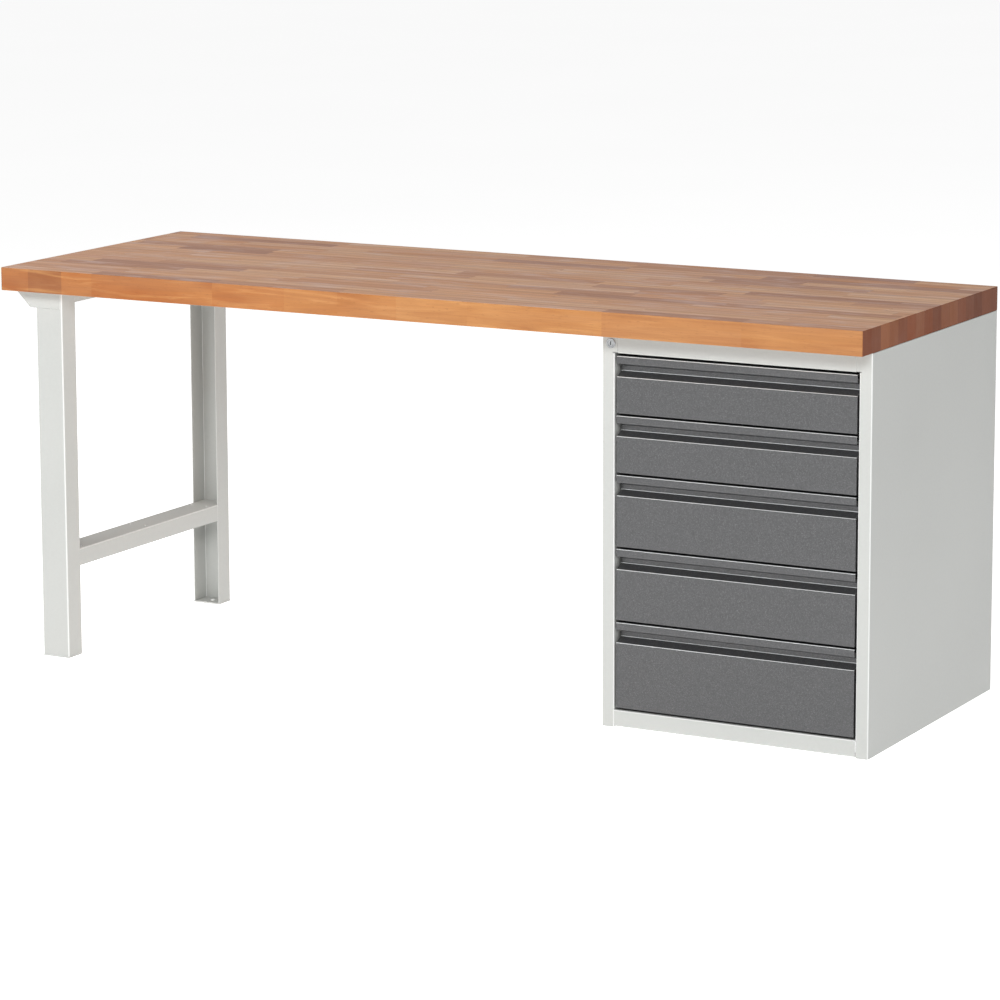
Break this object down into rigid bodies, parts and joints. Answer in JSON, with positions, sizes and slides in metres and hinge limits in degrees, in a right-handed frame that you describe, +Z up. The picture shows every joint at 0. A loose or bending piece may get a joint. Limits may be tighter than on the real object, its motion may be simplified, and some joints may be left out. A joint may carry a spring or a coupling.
{
  "type": "workbench with drawers",
  "caption": "Long workbench: a thick wooden worktop on an open folded-steel leg frame at one end and a lockable sheet-steel cabinet of grip-front drawers at the other.",
  "frame": {"origin": "on the floor under the middle of the worktop", "axes": "+X along the bench to the cabinet end, +Y to the back, +Z up"},
  "size_m": [2, 0.7, 0.85],
  "materials": {
    "beech": "oiled, glued staves",
    "light_grey_coat": "light grey powder coat",
    "anthracite_coat": "anthracite metallic powder coat",
    "zinc": "zinc plated",
    "chrome": "polished"
  },
  "bodies": {
    "bench": {"worktop": "beech", "front_leg": "light_grey_coat", "rear_leg": "light_grey_coat", "stretcher": "light_grey_coat", "top_bearer": "light_grey_coat", "front_end_plate": "light_grey_coat", "rear_end_plate": "light_grey_coat", "front_foot_plate": "light_grey_coat", "rear_foot_plate": "light_grey_coat", "cabinet_side_left": "light_grey_coat", "cabinet_side_right": "light_grey_coat", "cabinet_back": "light_grey_coat", "cabinet_floor": "light_grey_coat", "cabinet_top": "light_grey_coat", "top_front_rail": "light_grey_coat", "bottom_front_rail": "light_grey_coat", "lock_housing": "chrome", "drawer_1_fixed_slide_left": "zinc", "drawer_1_fixed_slide_right": "zinc", "drawer_2_fixed_slide_left": "zinc", "drawer_2_fixed_slide_right": "zinc", "drawer_3_fixed_slide_left": "zinc", "drawer_3_fixed_slide_right": "zinc", "drawer_4_fixed_slide_left": "zinc", "drawer_4_fixed_slide_right": "zinc", "drawer_5_fixed_slide_left": "zinc", "drawer_5_fixed_slide_right": "zinc"},
    "drawer_1": {"drawer_1_front": "anthracite_coat", "drawer_1_box": "light_grey_coat", "drawer_1_inner_slide_left": "zinc", "drawer_1_inner_slide_right": "zinc"},
    "drawer_1_middle_slides": {"drawer_1_middle_slide_left": "zinc", "drawer_1_middle_slide_right": "zinc"},
    "drawer_2": {"drawer_2_front": "anthracite_coat", "drawer_2_box": "light_grey_coat", "drawer_2_inner_slide_left": "zinc", "drawer_2_inner_slide_right": "zinc"},
    "drawer_2_middle_slides": {"drawer_2_middle_slide_left": "zinc", "drawer_2_middle_slide_right": "zinc"},
    "drawer_3": {"drawer_3_front": "anthracite_coat", "drawer_3_box": "light_grey_coat", "drawer_3_inner_slide_left": "zinc", "drawer_3_inner_slide_right": "zinc"},
    "drawer_3_middle_slides": {"drawer_3_middle_slide_left": "zinc", "drawer_3_middle_slide_right": "zinc"},
    "drawer_4": {"drawer_4_front": "anthracite_coat", "drawer_4_box": "light_grey_coat", "drawer_4_inner_slide_left": "zinc", "drawer_4_inner_slide_right": "zinc"},
    "drawer_4_middle_slides": {"drawer_4_middle_slide_left": "zinc", "drawer_4_middle_slide_right": "zinc"},
    "drawer_5": {"drawer_5_front": "anthracite_coat", "drawer_5_box": "light_grey_coat", "drawer_5_inner_slide_left": "zinc", "drawer_5_inner_slide_right": "zinc"},
    "drawer_5_middle_slides": {"drawer_5_middle_slide_left": "zinc", "drawer_5_middle_slide_right": "zinc"},
    "lock_plug": {"lock_plug": "chrome", "lock_cam": "zinc"},
    "lock_rod": {"lock_rod": "zinc"}
  },
  "joints": [
    {"name": "drawer_1_travel", "type": "slide", "parent": "bench", "child": "drawer_1", "axis": [0, -1, 0], "range_m": [0, 0.56]},
    {"name": "drawer_1_middle_travel", "type": "slide", "parent": "bench", "child": "drawer_1_middle_slides", "axis": [0, -1, 0], "range_m": [0, 0.28]},
    {"name": "drawer_2_travel", "type": "slide", "parent": "bench", "child": "drawer_2", "axis": [0, -1, 0], "range_m": [0, 0.56]},
    {"name": "drawer_2_middle_travel", "type": "slide", "parent": "bench", "child": "drawer_2_middle_slides", "axis": [0, -1, 0], "range_m": [0, 0.28]},
    {"name": "drawer_3_travel", "type": "slide", "parent": "bench", "child": "drawer_3", "axis": [0, -1, 0], "range_m": [0, 0.56]},
    {"name": "drawer_3_middle_travel", "type": "slide", "parent": "bench", "child": "drawer_3_middle_slides", "axis": [0, -1, 0], "range_m": [0, 0.28]},
    {"name": "drawer_4_travel", "type": "slide", "parent": "bench", "child": "drawer_4", "axis": [0, -1, 0], "range_m": [0, 0.56]},
    {"name": "drawer_4_middle_travel", "type": "slide", "parent": "bench", "child": "drawer_4_middle_slides", "axis": [0, -1, 0], "range_m": [0, 0.28]},
    {"name": "drawer_5_travel", "type": "slide", "parent": "bench", "child": "drawer_5", "axis": [0, -1, 0], "range_m": [0, 0.56]},
    {"name": "drawer_5_middle_travel", "type": "slide", "parent": "bench", "child": "drawer_5_middle_slides", "axis": [0, -1, 0], "range_m": [0, 0.28]},
    {"name": "lock_turn", "type": "hinge", "parent": "bench", "child": "lock_plug", "pos_m": [0.439, -0.3, 0.7806], "axis": [0, -1, 0], "range_deg": [0, 90]},
    {"name": "lock_rod_travel", "type": "slide", "parent": "bench", "child": "lock_rod", "axis": [0, 0, 1], "range_m": [-0.009, 0]}
  ],
  "couplings": [
    {"joint": "drawer_1_middle_travel", "follows": "drawer_1_travel", "ratio": 0.5},
    {"joint": "drawer_2_middle_travel", "follows": "drawer_2_travel", "ratio": 0.5},
    {"joint": "drawer_3_middle_travel", "follows": "drawer_3_travel", "ratio": 0.5},
    {"joint": "drawer_4_middle_travel", "follows": "drawer_4_travel", "ratio": 0.5},
    {"joint": "drawer_5_middle_travel", "follows": "drawer_5_travel", "ratio": 0.5},
    {"joint": "lock_turn", "follows": "lock_rod_travel", "rad_per_m": -174.53}
  ]
}
